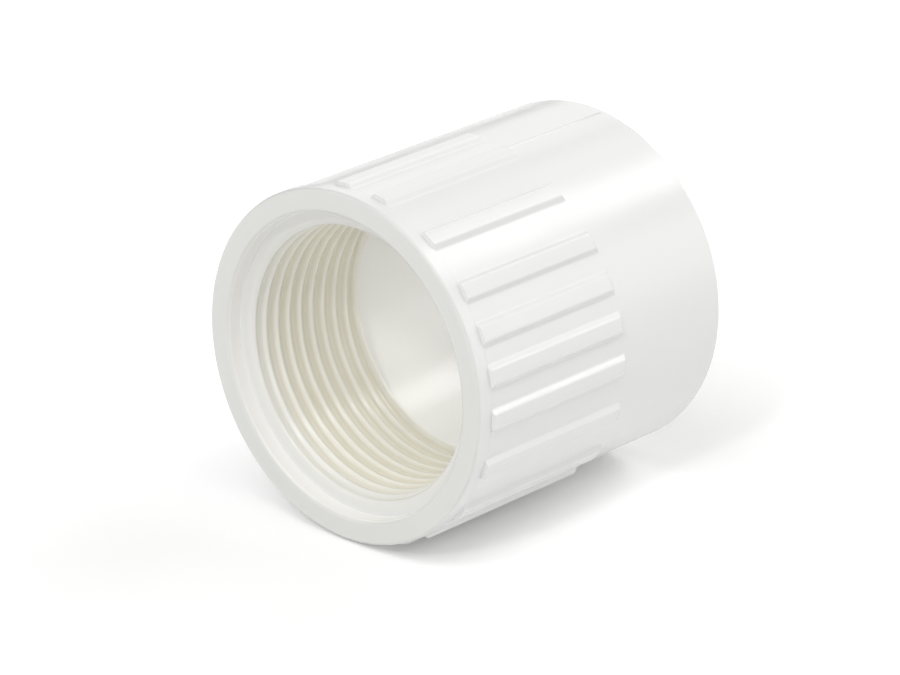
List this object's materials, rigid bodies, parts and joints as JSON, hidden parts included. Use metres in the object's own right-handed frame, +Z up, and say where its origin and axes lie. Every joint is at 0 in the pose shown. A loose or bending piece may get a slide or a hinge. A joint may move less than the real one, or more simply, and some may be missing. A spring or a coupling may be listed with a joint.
{
  "type": "female threaded pipe adapter",
  "caption": "White moulded PVC pipe adapter with a solvent-weld socket at one end, a female tapered pipe thread at the other, and grip ribs around the threaded half.",
  "frame": {"origin": "on the floor under the middle of the fitting's length, below the bore's axis", "axes": "+Y along the bore, from the threaded end to the socket end; +Z up; +X to the right seen from the threaded end"},
  "size_m": [0.0516, 0.0498, 0.0514],
  "materials": {
    "white_pvc": "glossy, as moulded"
  },
  "bodies": {
    "root": {"threaded_adapter": "white_pvc"}
  },
  "joints": []
}
